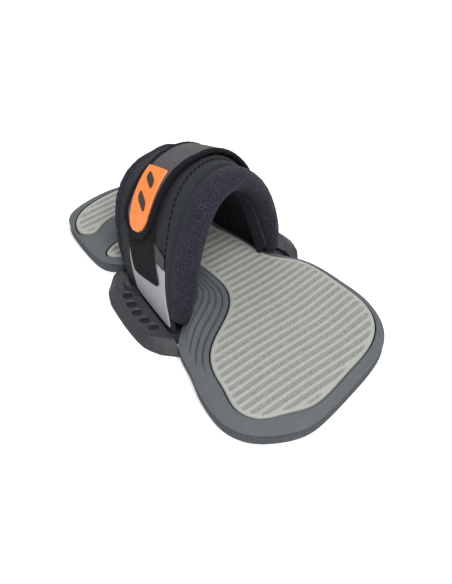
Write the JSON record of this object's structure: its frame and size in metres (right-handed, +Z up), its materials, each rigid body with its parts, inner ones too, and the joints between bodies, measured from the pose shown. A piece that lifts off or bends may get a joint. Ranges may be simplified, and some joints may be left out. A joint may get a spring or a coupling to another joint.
{
  "type": "kiteboard foot binding",
  "caption": "Kiteboard foot binding: contoured EVA footpad on a slotted plate with screw holes, and an arched padded foot strap with a hook-and-loop closure band.",
  "frame": {"origin": "on the board face, in the middle of the pad's waist", "axes": "+Z up from the board, +Y towards the toes, +X towards the outside of a right foot"},
  "size_m": [0.1738, 0.3028, 0.112],
  "materials": {
    "footbed_foam": "moulded EVA foam, matt",
    "deck_foam": "brushed EVA foam, matt",
    "plate_nylon": "moulded glass-filled nylon, satin",
    "neoprene": "stretch jersey on neoprene",
    "panel_fabric": "coated woven fabric",
    "band_fabric": "smooth nylon webbing",
    "edge_binding": "folded binding tape",
    "loop_pile": "brushed loop pile",
    "hook_tape": "moulded hooks",
    "coated_patch": "coated fabric, matt",
    "badge_rubber": "moulded soft PVC",
    "badge_dark": "moulded soft PVC",
    "foam_core": "closed-cell foam",
    "stiffener": "polyethylene sheet",
    "gel_insert": "soft elastomer",
    "steel": "stainless",
    "brass": "knurled brass"
  },
  "bodies": {
    "base": {"footbed": "footbed_foam", "main_deck": "deck_foam", "toe_deck": "deck_foam", "heel_cushion": "gel_insert", "chassis_plate": "plate_nylon", "anchor_inserts": "brass", "anchor_screws": "steel", "anchor_bar_left": "steel", "anchor_bar_right": "steel", "strap_core": "stiffener", "strap_foam": "foam_core", "strap_liner": "neoprene", "outer_panel": "panel_fabric", "heel_side_cuff": "neoprene", "toe_side_cuff": "neoprene", "side_panel_left": "coated_patch", "side_panel_right": "coated_patch", "loop_tape": "loop_pile", "sizing_strap": "band_fabric", "band_tail": "band_fabric"},
    "closure_band": {"closure_band": "band_fabric", "band_binding": "edge_binding"},
    "closure_flap": {"closure_flap": "band_fabric", "flap_binding": "edge_binding", "hook_tape": "hook_tape", "flap_badge": "badge_rubber", "badge_motif": "badge_dark"}
  },
  "joints": [
    {"name": "band_lift", "type": "hinge", "parent": "base", "child": "closure_band", "pos_m": [0.04729, 0.02701, 0.07969], "axis": [-0.047, 0.964, -0.2617], "range_deg": [0, 55]},
    {"name": "flap_peel", "type": "hinge", "parent": "closure_band", "child": "closure_flap", "pos_m": [-0.01326, 0.02333, 0.10048], "axis": [0.0151, 0.9364, -0.3505], "range_deg": [0, 110]}
  ]
}
